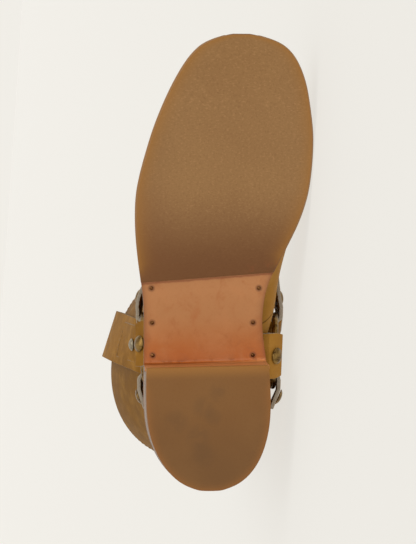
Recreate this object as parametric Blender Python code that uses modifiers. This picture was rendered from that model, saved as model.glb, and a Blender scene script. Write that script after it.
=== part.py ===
"""Harness boot for the right foot, lying on its inner side.

The pieces are modelled in the boot's own frame, in millimetres: x runs from the back of the heel
to the toe, y towards the inner side of the foot, and z up from the ground that the boot is worn on.
An empty then lays the boot on its inner side, on the ball of the sole, the collar and the harness.
"""

import math

import bmesh
import bpy
import numpy as np
from mathutils import Matrix, Vector
from mathutils.bvhtree import BVHTree

MM = 0.001
FIT_GAP = 0.3
LATERAL = -1.0
MEDIAL = 1.0
SIDE_NAMES = {LATERAL: "lateral", MEDIAL: "medial"}

# Sole: lengths along the foot, heights and thicknesses
BREAST_STATION = 82.0
WAIST_RISE = 27.0
HEEL_SEAT_RISE = 3.0
TREAD_BACK = 185.0
TREAD_FRONT = 245.0
TOE_STATION = 301.5
TOE_SPRING = 11.0
RUBBER_THICKNESS = 5.0
RUBBER_REAR = 140.5
RUBBER_REAR_THICKNESS = 1.7
RUBBER_FADE = 14.0
RUBBER_BEVEL = 1.4
LEATHER_THICKNESS = 4.5
LEATHER_INSET = 0.3
FLAP_THICKNESS = 2.6
FLAP_BEND = 2.5
FLAP_STEPS = 4
FLAP_CREASE = 0.02
WELT_THICKNESS = 3.0
WELT_INSET = 0.7
WELT_CLEARANCE = 1.9
WELT_GAP = 0.45
INSOLE_THICKNESS = 3.5
TOP_LIFT_THICKNESS = 7.0
FLAP_FOOT = TOP_LIFT_THICKNESS + FIT_GAP
HEEL_SEAT_INSET = 0.4
HEEL_TREAD_INSET = 1.3
TOP_LIFT_TAPER = 0.75

# Edge of the sole, from the back of the heel to the toe
HEEL_TIP = (-1.0, 1.5)
TOE_RIM = 1.4
TOE_RIM_STATIONS = (272.0, 299.0)
TOE_TIP = (TOE_STATION + TOE_RIM, 23.0)
SOLE_EDGE = (
    # station, lateral, medial
    (4.0, -17.0, 20.5),
    (17.0, -30.2, 33.3),
    (36.0, -38.8, 40.5),
    (56.0, -41.4, 42.6),
    (BREAST_STATION, -41.4, 41.4),
    (107.0, -41.4, 38.2),
    (123.0, -42.0, 38.6),
    (137.0, -43.6, 41.6),
    (157.0, -46.4, 51.0),
    (178.0, -47.8, 60.9),
    (199.0, -46.6, 67.2),
    (230.0, -38.6, 70.0),
    (251.0, -31.0, 68.3),
    (272.0, -21.0, 64.6),
    (288.0, -10.5, 57.6),
    (297.0, 0.4, 47.2),
)
# Slant of the lines across the sole: the breast and the rear edge of the rubber
SLANT_STATIONS = (55.0, BREAST_STATION, 112.0, RUBBER_REAR, 200.0)
SLANTS = (0.0, 0.021, 0.03, 0.079, 0.0)
# Lines across the sole: bare waist, and counts for the heel, the forefoot and the insole
WAIST_STATIONS = (92.0, 100.0, 109.0, 118.0, 126.5, 133.5, RUBBER_REAR, 150.0, 162.0, 174.0)
SEAT_ROWS = 11
HEEL_ROWS = 10
SKIVE_ROWS = 5
TOE_ROWS = 18
INSOLE_ROWS = 26
TIP_TRIM = 0.4
WELT_SPANS = 3

# Upper: wall, inset from the edge of the sole, and one row for each section from sole to collar
UPPER_WALL = 2.2
UPPER_GAP = 0.8
HEEL_INSET = 4.2
FOREFOOT_INSET = 5.5
INSET_STATIONS = (120.0, 180.0)
FOREPART_SPAN = (0.3, 0.65)
ARCH_CENTRE = 0.45
ARCH_SPREAD = 0.14
PINCH_CENTRE = 0.36
PINCH_SPREAD = 0.24
LEAN_FADE = (0.98, 0.7)
UPPER_LOOPS = 22
HALF_LOOP = 26
UPPER_COLUMNS = ("heel_x", "heel_rise", "front_x", "front_rise", "dip", "heel", "fore", "oval", "half",
                 "lean", "arch", "pinch", "back")
UPPER_SECTIONS = (
    (2.6, 0.0, 296.0, 0.0, 1.0, 1.0, 1.0, 0.0, 40.0, 0.0, 0.0, 0.0, 0.0),
    (1.2, 10.0, 297.5, 9.0, 0.95, 1.025, 1.025, 0.0, 40.0, 0.8, 1.8, 1.5, 0.0),
    (0.4, 22.0, 295.5, 20.0, 0.8, 1.04, 1.035, 0.0, 40.0, 1.6, 6.6, 4.0, 0.0),
    (0.4, 34.0, 285.8, 30.0, 0.55, 1.03, 0.985, 0.04, 40.0, 2.6, 8.5, 5.5, 0.0),
    (1.6, 46.0, 266.8, 38.0, 0.3, 1.02, 0.90, 0.12, 41.0, 3.4, 7.0, 6.5, 0.0),
    (4.0, 58.0, 243.0, 46.0, 0.12, 1.0, 0.80, 0.25, 42.0, 4.0, 3.2, 7.0, 0.0),
    (6.8, 70.0, 218.0, 56.0, 0.0, 0.98, 0.74, 0.42, 43.0, 4.2, 0.3, 7.0, 0.0),
    (9.2, 83.0, 195.0, 69.0, 0.0, 0.98, 0.74, 0.60, 43.5, 4.0, 0.0, 6.5, 0.0),
    (10.8, 97.0, 176.5, 87.0, 0.0, 0.98, 0.76, 0.78, 44.0, 3.6, 0.0, 5.5, 0.0),
    (11.3, 112.0, 162.0, 110.0, 0.0, 1.0, 0.80, 0.90, 45.0, 2.4, 0.0, 4.0, 0.0),
    (10.3, 129.0, 152.0, 134.0, 0.0, 1.0, 0.90, 1.0, 46.5, 1.0, 0.0, 2.0, 1.0),
    (6.8, 154.0, 147.5, 162.0, 0.0, 1.0, 1.0, 1.0, 49.5, -0.8, 0.0, 0.6, 3.0),
    (3.0, 181.0, 146.0, 192.0, 0.0, 1.0, 1.0, 1.0, 53.0, -2.6, 0.0, 0.0, 5.0),
    (1.2, 207.0, 145.0, 221.0, 0.0, 1.0, 1.0, 1.0, 55.5, -4.0, 0.0, 0.0, 6.0),
)

# Harness: a ring on each side of the ankle, three straps folded round it
RING_X = 90.0
RING_Z = 77.0
RING_RADIUS = 24.5
RING_WIRE = 2.2
RING_SEGMENTS = 36
WIRE_SEGMENTS = 8
RING_SIT = 1.6
CORE_Y = 5.0
STRAP_THICKNESS = 2.6
STRAP_HALF = 15.5
FOLD_HALF = 13.2
FOLD_TAPER = (21.0, 34.0)
STRAP_LIFT = 1.0
STRAP_LANES = 5
FOLD_RADIUS = 4.0
FOLD_STATION = 20.4
FOLD_STEPS = 6
FOLD_ROWS = 5
FOLD_LEAD = 3.0
LAYER_GAP = 0.6
WEDGE_START = 27.0
STRAP_STEP = 5.0
LEVEL_SPAN = (27.0, 58.0)
LEVEL_PASSES = 3
INSTEP_ANGLE = 24.0
HEEL_ANGLE = 183.0
SOLE_ANGLES = {LATERAL: 280.0, MEDIAL: 266.0}
INSTEP_TURN = 45.0
HEEL_TURN = 48.0
TURN_STEPS = 22
# Straps: station of the rivet and end of the folded layer, measured from the ring's centre
INSTEP_FOLD = (40.0, 49.0)
HEEL_FOLD = (31.0, 40.0)
SOLE_FOLD = (33.0, 33.0)
SOLE_STRAP_CLEARANCE = 2.0
SOLE_STRAP_RAYS = 9
SOLE_STRAP_ROWS = 4
SOLE_STRAP_LEAD = 4.0
INNER_HEIGHT = STRAP_LIFT + STRAP_THICKNESS / 2.0

RIVET_RADIUS = 5.6
RIVET_HEIGHT = 2.4
RIVET_SIDES = 16
RIVET_GAP = 0.7
RIVET_SPAN = 3.0
RIVET_PROFILE = (
    # share of the radius, share of the height
    (0.0, 1.0),
    (0.45, 0.9),
    (0.8, 0.6),
    (1.0, 0.2),
    (1.0, 0.0),
    (0.0, 0.0),
)

# Pull straps: distance out from the shaft, and height
PULL_HALF = 18.3
PULL_THICKNESS = 2.4
PULL_LANES = 5
PULL_RIVET_ROWS = (0, 1)
PULL_RIVET_RADIUS = 4.5
PULL_CORE = 30.0
PULL_SIGHT = 10.0
RIM_CLEARANCE = 2.0
PULL_LATERAL_X = 95.0
PULL_LATERAL_FACING = 101.0
PULL_LATERAL = (
    # out, height, share of the shaft's roundness
    (2.0, 137.0, 1.0),
    (2.0, 160.0, 1.0),
    (2.0, 186.0, 0.5),
    (2.2, 206.0, 0.1),
    (2.8, 224.0, 0.0),
    (3.6, 240.0, 0.0),
    (3.6, 250.0, 0.0),
    (1.8, 256.6, 0.0),
    (-0.8, 258.4, 0.3),
    (-4.6, 254.6, 0.7),
    (-5.6, 246.0, 1.0),
    (-5.6, 226.0, 1.0),
    (-5.6, 198.0, 1.0),
)
PULL_MEDIAL_X = 122.0
PULL_MEDIAL = (
    # out, height, share of the shaft's roundness
    (2.2, 137.0, 1.0),
    (2.2, 160.0, 1.0),
    (2.2, 186.0, 0.7),
    (2.2, 206.0, 0.7),
    (2.3, 224.0, 1.0),
    (2.4, 240.0, 1.0),
    (1.8, 246.6, 1.0),
    (-1.4, 249.6, 1.0),
    (-4.6, 248.2, 1.0),
    (-5.6, 242.0, 1.0),
    (-5.6, 226.0, 1.0),
    (-5.6, 198.0, 1.0),
)

NAIL_RADIUS = 1.5
NAIL_HEIGHT = 0.7
NAIL_SIDES = 10
NAIL_PROFILE = (
    # share of the radius, share of the height
    (0.0, 1.0),
    (0.6, 0.85),
    (1.0, 0.3),
    (1.0, 0.0),
    (0.0, 0.0),
)
SHANK_NAILS = (
    # station, lateral, medial
    (133.5, -36.6, 34.8),
    (110.5, -35.8, 31.6),
    (88.6, -35.2, 31.8),
)

# Lying pose: turn about the foot's length past the side, and dip of the toe
LYING_ROLL = 1.89
LYING_DIP = -3.78

SHARP_ANGLE = 40.0


def clear_scene():
    for old in list(bpy.data.objects):
        bpy.data.objects.remove(old, do_unlink=True)


def material(name, colour, roughness, metallic=0.0):
    finish = bpy.data.materials.new(name)
    finish.use_nodes = True
    shader = finish.node_tree.nodes["Principled BSDF"]
    shader.inputs["Base Color"].default_value = (*colour, 1.0)
    shader.inputs["Roughness"].default_value = roughness
    shader.inputs["Metallic"].default_value = metallic
    return finish


def ease(start, end, value):
    """Smooth step from 0 at start to 1 at end."""
    t = min(max((value - start) / (end - start), 0.0), 1.0)
    return t * t * (3.0 - 2.0 * t)


def mix(a, b, t):
    return a + (b - a) * t


# Outline of the sole


def closed_curve(points, per_span):
    """Smooth closed curve through points, by cubic spans with chord-length spacing."""
    count = len(points)
    points = np.array(points, dtype=float)
    curve = []
    for i in range(count):
        before, start, end, after = (points[(i + k) % count] for k in (-1, 0, 1, 2))
        lead = np.linalg.norm(start - before)
        span = np.linalg.norm(end - start)
        tail = np.linalg.norm(after - end)
        leave = (end - before) / (lead + span) * span
        arrive = (after - start) / (span + tail) * span
        for t in np.arange(per_span) / per_span:
            hermite = ((2 * t**3 - 3 * t**2 + 1) * start + (t**3 - 2 * t**2 + t) * leave
                       + (3 * t**2 - 2 * t**3) * end + (t**3 - t**2) * arrive)
            curve.append(hermite)
    return np.array(curve)


def sole_curve(inset, per_span=16):
    """Closed edge of the sole, moved inwards by inset(station)."""
    lateral = [(station, y) for station, y, _ in SOLE_EDGE]
    medial = [(station, y) for station, _, y in SOLE_EDGE]
    edge = closed_curve([HEEL_TIP, *lateral, TOE_TIP, *reversed(medial)], per_span)
    along = np.roll(edge, -1, axis=0) - np.roll(edge, 1, axis=0)
    along /= np.linalg.norm(along, axis=1)[:, None]
    inward = np.stack((-along[:, 1], along[:, 0]), axis=1)
    return edge + inward * np.array([inset(x) for x in edge[:, 0]])[:, None]


class Outline:
    """Two sides of the sole's edge as functions of the station along the foot."""

    def __init__(self, inset):
        curve = sole_curve(inset)
        curve = np.roll(curve, -int(np.argmin(curve[:, 0])), axis=0)
        toe = int(np.argmax(curve[:, 0]))
        self.lateral = curve[:toe + 1]
        self.medial = np.vstack((curve[toe:], curve[:1]))[::-1]
        self.start = curve[0, 0]
        self.end = curve[toe, 0]

    def at(self, station, side):
        chain = self.lateral if side == LATERAL else self.medial
        return float(np.interp(station, chain[:, 0], chain[:, 1]))


def feather_inset(station):
    """Distance from the edge of the sole in to the upper, widest at the toe."""
    inset = mix(HEEL_INSET, FOREFOOT_INSET, ease(*INSET_STATIONS, station))
    return inset + TOE_RIM * ease(*TOE_RIM_STATIONS, station)


# Heights of the sole


def slant(station):
    return float(np.interp(station, SLANT_STATIONS, SLANTS))


def rung(x, y):
    """Station of the slanted line across the sole that passes through x, y."""
    return x - slant(x) * y


def tread_height(station):
    """Underside of the boot at the forefoot and waist, and underside of the seat at the heel."""
    if station > TREAD_FRONT:
        return TOE_SPRING * ((station - TREAD_FRONT) / (TOE_STATION - TREAD_FRONT)) ** 2
    waist = WAIST_RISE * ease(TREAD_BACK, BREAST_STATION, station)
    seat = HEEL_SEAT_RISE * ease(BREAST_STATION, 0.0, station)
    return waist + seat


def rubber_depth(station):
    """Thickness of the rubber, skived towards its rear edge and gone a little behind it."""
    if station < RUBBER_REAR:
        return RUBBER_REAR_THICKNESS * ease(RUBBER_REAR - RUBBER_FADE, RUBBER_REAR, station)
    return mix(RUBBER_REAR_THICKNESS, RUBBER_THICKNESS, ease(RUBBER_REAR, TREAD_BACK, station))


def leather_bottom(station):
    return tread_height(station) + rubber_depth(station)


def leather_top(station):
    return leather_bottom(station) + LEATHER_THICKNESS


def leather_underside(station):
    """Underside of the leather sole, with the flap that turns down over the heel breast."""
    if BREAST_STATION - FLAP_THICKNESS < station < BREAST_STATION + FLAP_BEND:
        bend = max(station - BREAST_STATION, 0.0) / FLAP_BEND
        drop = 1.0 - math.sqrt(1.0 - (1.0 - bend) ** 2)
        return leather_bottom(station) - drop * (leather_bottom(station) - FLAP_FOOT)
    return leather_bottom(station)


def feather_height(x, y):
    """Height of the lower rim of the upper."""
    return leather_top(rung(x, y)) + UPPER_GAP


# Meshes


def add_mesh(name, points, faces, finish):
    """Closed or open mesh from points in millimetres, in the boot's own frame."""
    mesh = bpy.data.meshes.new(name)
    mesh.from_pydata([tuple(c * MM for c in p) for p in points], [], faces)
    mesh.materials.append(finish)
    mesh.shade_smooth()
    mesh.set_sharp_from_angle(angle=math.radians(SHARP_ANGLE))
    obj = bpy.data.objects.new(name, mesh)
    part_collection.objects.link(obj)
    obj.parent = lying
    return obj


def face_outwards(obj):
    shape = bmesh.new()
    shape.from_mesh(obj.data)
    bmesh.ops.recalc_face_normals(shape, faces=shape.faces)
    shape.to_mesh(obj.data)
    shape.free()


def loft_faces(rows, count, closed):
    faces = []
    for i in range(rows if closed else rows - 1):
        low = i * count
        high = (i + 1) % rows * count
        for j in range(count):
            k = (j + 1) % count
            faces.append((low + j, low + k, high + k, high + j))
    return faces


def loft(name, sections, finish, closed=False):
    """Solid through sections with equal numbers of points, capped unless it closes on itself."""
    count = len(sections[0])
    points = [p for section in sections for p in section]
    faces = loft_faces(len(sections), count, closed)
    if not closed:
        faces.append(tuple(range(count)))
        faces.append(tuple(range(len(points) - count, len(points))))
    obj = add_mesh(name, points, faces, finish)
    face_outwards(obj)
    return obj


def turned(name, profile, sides, finish):
    """Turned solid from a profile of radius, height points that runs from top to bottom."""
    edges = [(i, i + 1) for i in range(len(profile) - 1)]
    mesh = bpy.data.meshes.new(name)
    mesh.from_pydata([(r * MM, 0.0, z * MM) for r, z in profile], edges, [])
    mesh.materials.append(finish)
    obj = bpy.data.objects.new(name, mesh)
    part_collection.objects.link(obj)
    obj.parent = lying
    screw = obj.modifiers.new("turn", "SCREW")
    screw.steps = sides
    screw.render_steps = sides
    screw.use_merge_vertices = True
    screw.merge_threshold = 0.00001
    return obj


def place(obj, point, normal):
    """Stand an object's own z axis along normal, at a point in millimetres."""
    turn = Vector(normal).to_track_quat("Z", "Y").to_matrix().to_4x4()
    obj.matrix_local = Matrix.Translation(Vector(point) * MM) @ turn


def cosine_stations(start, end, count):
    """Stations that crowd towards both ends."""
    return [mix(start, end, 0.5 - 0.5 * math.cos(math.pi * i / count)) for i in range(count + 1)]


def crowded_stations(start, end, count):
    """Stations that crowd towards the start only."""
    return [mix(start, end, 1.0 - math.cos(math.pi / 2.0 * i / count)) for i in range(count + 1)]


def slab(name, stations, low, high, bottom, top, finish):
    """Solid between two outlines of the sole, with heights worked out along its slanted lines."""
    sections = []
    for station in stations:
        section = []
        for outline, height, sides in ((low, bottom, (LATERAL, MEDIAL)), (high, top, (MEDIAL, LATERAL))):
            for side in sides:
                x = station + slant(station) * outline.at(station, side)
                section.append((x, outline.at(x, side), height(station)))
        sections.append(section)
    return loft(name, sections, finish)


# Sole pieces


def add_leather_sole():
    edge = Outline(lambda station: LEATHER_INSET)
    back = BREAST_STATION - FLAP_THICKNESS
    seat = crowded_stations(edge.start + TIP_TRIM, back, SEAT_ROWS)
    bend = [mix(BREAST_STATION + FLAP_BEND, BREAST_STATION, math.cos(math.pi / 2.0 * i / FLAP_STEPS))
            for i in range(FLAP_STEPS + 1)]
    front = crowded_stations(edge.end - TIP_TRIM, TREAD_BACK, TOE_ROWS)[::-1]
    stations = [*seat, back + FLAP_CREASE, *bend, *WAIST_STATIONS, *front]
    slab("leather_sole", stations, edge, edge, leather_underside, leather_top, veg_leather)


def add_rubber_forefoot():
    low = Outline(lambda station: RUBBER_BEVEL)
    high = Outline(lambda station: 0.0)
    rear = np.linspace(RUBBER_REAR, TREAD_BACK, SKIVE_ROWS)
    front = crowded_stations(low.end - TIP_TRIM, TREAD_BACK, TOE_ROWS)[::-1]
    slab("rubber_forefoot", [*rear[:-1], *front], low, high, tread_height,
         lambda station: leather_bottom(station) - FIT_GAP, gum_rubber)


def add_welt():
    outer = sole_curve(lambda station: WELT_INSET, WELT_SPANS)
    inner = sole_curve(lambda station: feather_inset(station) - WELT_CLEARANCE, WELT_SPANS)
    sections = []
    for (x, y), (inner_x, inner_y) in zip(outer, inner):
        low = leather_top(rung(x, y)) + WELT_GAP
        inner_low = leather_top(rung(inner_x, inner_y)) + WELT_GAP
        sections.append([(x, y, low), (x, y, low + WELT_THICKNESS),
                         (inner_x, inner_y, inner_low + WELT_THICKNESS), (inner_x, inner_y, inner_low)])
    loft("welt", sections, veg_leather, closed=True)


def add_insole():
    edge = Outline(lambda station: feather_inset(station) + UPPER_WALL + UPPER_GAP + FIT_GAP)
    stations = cosine_stations(edge.start + TIP_TRIM, edge.end - TIP_TRIM, INSOLE_ROWS)
    slab("insole", stations, edge, edge, lambda station: leather_top(station) + UPPER_GAP,
         lambda station: leather_top(station) + UPPER_GAP + INSOLE_THICKNESS, lining_leather)


def add_heel():
    seat = Outline(lambda station: HEEL_SEAT_INSET)
    join = Outline(lambda station: mix(HEEL_SEAT_INSET, HEEL_TREAD_INSET, TOP_LIFT_TAPER))
    tread = Outline(lambda station: HEEL_TREAD_INSET)
    front = BREAST_STATION - FLAP_THICKNESS - FIT_GAP
    stations = crowded_stations(tread.start + TIP_TRIM, front, HEEL_ROWS)
    slab("heel_stack", stations, join, seat, lambda station: TOP_LIFT_THICKNESS + FIT_GAP,
         lambda station: leather_bottom(station) - FIT_GAP, heel_leather)
    slab("heel_top_lift", stations[:-1] + [BREAST_STATION], tread, join, lambda station: 0.0,
         lambda station: TOP_LIFT_THICKNESS, heel_rubber)


def add_nails():
    profile = [(r * NAIL_RADIUS, z * NAIL_HEIGHT) for r, z in NAIL_PROFILE]
    for row, (station, lateral, medial) in enumerate(SHANK_NAILS, start=1):
        for side, y in ((LATERAL, lateral), (MEDIAL, medial)):
            nail = turned(f"shank_nail_{SIDE_NAMES[side]}_{row}", profile, NAIL_SIDES, brass)
            line = rung(station, y)
            slope = leather_bottom(line + 0.5) - leather_bottom(line - 0.5)
            down = Vector((slope, 0.0, -1.0)).normalized()
            place(nail, Vector((station, y, leather_bottom(line))) + FIT_GAP * down, down)


# Upper


def section_row(place_in_table):
    """Values of the upper's table at a fractional row, by cubic spans through the rows."""
    last = len(UPPER_SECTIONS) - 1
    i = min(int(place_in_table), last - 1)
    t = place_in_table - i
    before, start, end, after = (np.array(UPPER_SECTIONS[min(max(i + k, 0), last)]) for k in (-1, 0, 1, 2))
    leave = (end - before) / 2.0
    arrive = (after - start) / 2.0
    values = ((2 * t**3 - 3 * t**2 + 1) * start + (t**3 - 2 * t**2 + t) * leave
              + (3 * t**2 - 2 * t**3) * end + (t**3 - t**2) * arrive)
    return dict(zip(UPPER_COLUMNS, values))


def upper_loop(row, feather):
    """One closed section of the upper: the feather outline near the sole, an oval at the collar."""
    heel_z = feather_height(feather.start, 0.0)
    front_z = feather_height(feather.end, TOE_TIP[1])

    def point(step, side):
        u = 0.5 - 0.5 * math.cos(math.pi * step / HALF_LOOP)
        station = mix(feather.start, feather.end, u)
        lateral = feather.at(station, LATERAL)
        medial = feather.at(station, MEDIAL)
        scale = mix(row["heel"], row["fore"], ease(*FOREPART_SPAN, u))
        foot = (medial - lateral) / 2.0 * scale
        oval = row["half"] * math.sin(math.pi * step / HALF_LOOP)
        footlike = 1.0 - row["oval"]
        centre = (medial + lateral) / 2.0 * footlike + row["lean"] * ease(*LEAN_FADE, u * footlike)
        y = centre + side * mix(foot, oval, row["oval"])
        if side == MEDIAL:
            y += row["arch"] * math.exp(-((u - ARCH_CENTRE) / ARCH_SPREAD) ** 2)
        else:
            y += row["pinch"] * math.exp(-((u - PINCH_CENTRE) / PINCH_SPREAD) ** 2)
        x = mix(row["heel_x"], row["front_x"], u) - row["back"] * math.sin(math.pi * u)
        flat = mix(heel_z, front_z, u)
        z = mix(flat, feather_height(station, y), row["dip"]) + mix(row["heel_rise"], row["front_rise"], u)
        return (x, y, z)

    lateral_side = [point(step, LATERAL) for step in range(HALF_LOOP)]
    medial_side = [point(step, MEDIAL) for step in range(HALF_LOOP, 0, -1)]
    return lateral_side + medial_side


def add_upper():
    """Hollow upper, and its outer skin as a tree that rays can be cast at."""
    feather = Outline(feather_inset)
    last = len(UPPER_SECTIONS) - 1
    loops = [upper_loop(section_row(last * i / (UPPER_LOOPS - 1)), feather) for i in range(UPPER_LOOPS)]
    points = [p for loop in loops for p in loop]
    faces = loft_faces(len(loops), len(loops[0]), closed=False)
    upper = add_mesh("upper", points, faces, tan_leather)
    wall = upper.modifiers.new("wall", "SOLIDIFY")
    wall.thickness = UPPER_WALL * MM
    wall.offset = -1.0
    wall.use_even_offset = True
    return BVHTree.FromPolygons([Vector(p) for p in points], faces)


# Harness straps


def walk(points):
    """Distance walked along points, from the first to each."""
    steps = [(b - a).length for a, b in zip(points, points[1:])]
    return np.concatenate(((0.0,), np.cumsum(steps)))


class StrapBed:
    """Line along the skin of the upper that a strap lies on, level with the rings near its ends."""

    def __init__(self, rays, across, ring_normals):
        lanes = np.linspace(-STRAP_HALF, STRAP_HALF, STRAP_LANES)
        hits = [[skin.ray_cast(origin + across * lane, direction)[0] for lane in lanes]
                for origin, direction in rays]
        middles = [(row[0] + row[-1]) / 2.0 for row in hits]
        walked = walk(middles)
        self.points = []
        self.normals = []
        self.widths = []
        for i, row in enumerate(hits):
            along = (middles[min(i + 1, len(hits) - 1)] - middles[max(i - 1, 0)]).normalized()
            width = row[-1] - row[0]
            normal = width.cross(along).normalized()
            if normal.dot(rays[i][1]) < 0.0:
                normal = -normal
            for ring_normal, station in zip(ring_normals, (walked[i], walked[-1] - walked[i])):
                if ring_normal is not None:
                    normal = ring_normal.lerp(normal, ease(*LEVEL_SPAN, station)).normalized()
            width = (width - normal * width.dot(normal)).normalized()
            lift = max((hit - middles[i]).dot(normal) for hit in row)
            self.points.append(middles[i] + normal * lift)
            self.normals.append(normal)
            self.widths.append(width)
        self.level(ring_normals, walked)
        self.stations = walk(self.points)
        self.length = float(self.stations[-1])

    def level(self, ring_normals, walked):
        """Lift the ends of the bed so that they are flat under the rings."""
        for ring_normal, stations in zip(ring_normals, (walked, walked[-1] - walked)):
            if ring_normal is None:
                continue
            heights = [point.dot(ring_normal) for point in self.points]
            top = max(height for height, station in zip(heights, stations) if station < LEVEL_SPAN[0])
            for i, station in enumerate(stations):
                share = 1.0 - ease(*LEVEL_SPAN, station)
                self.points[i] = self.points[i] + ring_normal * (max(top - heights[i], 0.0) * share)

    def read(self, values, station):
        columns = np.array(values)
        return Vector([float(np.interp(station, self.stations, columns[:, k])) for k in range(3)])

    def point(self, station, height):
        return self.read(self.points, station) + self.normal(station) * height

    def normal(self, station):
        return self.read(self.normals, station).normalized()

    def width(self, station):
        return self.read(self.widths, station).normalized()

    def along(self, station):
        return (self.read(self.points, station + 1.0) - self.read(self.points, station - 1.0)).normalized()


def folded_end(bed, fold, tail=()):
    """Stations of a strap's end, from its outer layer, round the ring, to its inner layer.

    The outer layer ends at the fold's end, or runs straight on along the tail's stations, down to the skin.
    """
    knees = (WEDGE_START, bed.length if len(tail) else fold[1])
    heights = (2.0 * FOLD_RADIUS, 0.0 if len(tail) else STRAP_THICKNESS + LAYER_GAP)
    rows = []
    for station in (*tail, *np.linspace(fold[1], WEDGE_START, FOLD_ROWS), WEDGE_START - FOLD_LEAD):
        height = INNER_HEIGHT + float(np.interp(station, knees, heights))
        rows.append((station, bed.point(station, height)))
    hub = bed.point(FOLD_STATION, INNER_HEIGHT + FOLD_RADIUS)
    for step in range(FOLD_STEPS + 1):
        angle = math.pi * (0.5 - step / FOLD_STEPS)
        spoke = bed.normal(FOLD_STATION) * math.sin(angle) - bed.along(FOLD_STATION) * math.cos(angle)
        rows.append((FOLD_STATION, hub + spoke * FOLD_RADIUS))
    return rows


def strap_half(station):
    return mix(FOLD_HALF, STRAP_HALF, ease(*FOLD_TAPER, station))


def ribbon(name, rows, thickness, finish):
    """Flat strap through rows of centre point, direction of its width and half width."""
    sections = []
    for i, (centre, width, half) in enumerate(rows):
        along = rows[min(i + 1, len(rows) - 1)][0] - rows[max(i - 1, 0)][0]
        normal = width.cross(along).normalized() * (thickness / 2.0)
        side = width * half
        sections.append([centre - side - normal, centre + side - normal, centre + side + normal,
                         centre - side + normal])
    return loft(name, sections, finish)


def mirrored(bed):
    """The same bed, read from its other end."""
    other = StrapBed.__new__(StrapBed)
    other.points = bed.points[::-1]
    other.normals = bed.normals[::-1]
    other.widths = bed.widths[::-1]
    other.stations = bed.length - bed.stations[::-1]
    other.length = bed.length
    return other


def ring_point(bed):
    """Point of the ring's wire inside a strap's fold."""
    return bed.point(FOLD_STATION + RING_SIT, INNER_HEIGHT + FOLD_RADIUS)


def rivet_seat(bed, fold, tail=()):
    """Place and normal of the rivet on the outer layer of a folded end."""
    rows = folded_end(bed, fold, tail)
    outer = rows[:-FOLD_STEPS - 1]
    stations = np.array([station for station, _ in outer])[::-1]
    centres = np.array([tuple(centre) for _, centre in outer])[::-1]

    def centre_at(station):
        return Vector([float(np.interp(station, stations, centres[:, k])) for k in range(3)])

    rivet_station = fold[0]
    along = centre_at(rivet_station + RIVET_SPAN) - centre_at(rivet_station - RIVET_SPAN)
    normal = bed.width(rivet_station).cross(along).normalized()
    if normal.dot(bed.normal(rivet_station)) < 0.0:
        normal = -normal
    return centre_at(rivet_station) + normal * (STRAP_THICKNESS / 2.0 + RIVET_GAP), normal


def add_rivet(name, seat, radius=RIVET_RADIUS):
    profile = [(r * radius, z * RIVET_HEIGHT) for r, z in RIVET_PROFILE]
    rivet = turned(name, profile, RIVET_SIDES, brass)
    place(rivet, *seat)


def direction_of(angle):
    """Direction in the side view, and the direction across it."""
    turn = math.radians(angle)
    along = Vector((math.cos(turn), 0.0, math.sin(turn)))
    across = Vector((-math.sin(turn), 0.0, math.cos(turn)))
    return along, across


def round_bed(angle, turn_station, ring_normals):
    """Bed of a strap from the medial ring, round the boot, to the lateral ring."""
    along, across = direction_of(angle)
    ring = Vector((RING_X, CORE_Y, RING_Z))
    outward = Vector((0.0, 1.0, 0.0))
    straight = np.linspace(0.0, turn_station, int(turn_station / STRAP_STEP) + 1)
    rays = [(ring + along * d, outward) for d in straight]
    for step in range(1, TURN_STEPS):
        turn = math.pi * step / TURN_STEPS
        rays.append((ring + along * turn_station, outward * math.cos(turn) + along * math.sin(turn)))
    rays += [(ring + along * d, -outward) for d in straight[::-1]]
    return StrapBed(rays, across, (ring_normals[MEDIAL], ring_normals[LATERAL]))


def down_bed(side, ring_normals):
    """Bed of a sole strap, from the ring down the side of the boot to the welt."""
    along, across = direction_of(SOLE_ANGLES[side])
    ring = Vector((RING_X, CORE_Y, RING_Z))
    slant = STRAP_HALF * abs(across.z)
    lowest = leather_top(RING_X - STRAP_HALF) + WELT_GAP + WELT_THICKNESS + SOLE_STRAP_CLEARANCE + slant
    reach = (RING_Z - lowest) / -along.z
    rays = [(ring + along * d, Vector((0.0, side, 0.0))) for d in np.linspace(0.0, reach, SOLE_STRAP_RAYS)]
    return StrapBed(rays, across, (ring_normals[side], None))


def strap_rows(bed, rows):
    return [(centre, bed.width(station), strap_half(station)) for station, centre in rows]


def add_round_strap(name, bed, fold):
    """Strap that is folded round a ring at both ends."""
    back = mirrored(bed)
    rows = strap_rows(bed, folded_end(bed, fold))
    first = FOLD_STATION + FOLD_LEAD
    for station in bed.stations:
        if first < station < bed.length - first:
            half = strap_half(min(station, bed.length - station))
            rows.append((bed.point(station, INNER_HEIGHT), bed.width(station), half))
    rows += strap_rows(back, folded_end(back, fold))[::-1]
    ribbon(name, rows, STRAP_THICKNESS, tan_leather)


def sole_tail(bed):
    """Stations of a sole strap's outer layer, from its lower end up to the end of its folded layer."""
    return np.linspace(bed.length, SOLE_FOLD[1], SOLE_STRAP_ROWS, endpoint=False)


def add_sole_strap(side, bed):
    """Strap from the sole up to the ring, with its folded end inside."""
    rows = strap_rows(bed, folded_end(bed, SOLE_FOLD, sole_tail(bed)))
    for station in np.linspace(FOLD_STATION + SOLE_STRAP_LEAD, SOLE_FOLD[1], SOLE_STRAP_ROWS):
        rows.append((bed.point(station, INNER_HEIGHT), bed.width(station), strap_half(station)))
    ribbon(f"sole_strap_{SIDE_NAMES[side]}", rows, STRAP_THICKNESS, tan_leather)


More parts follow.
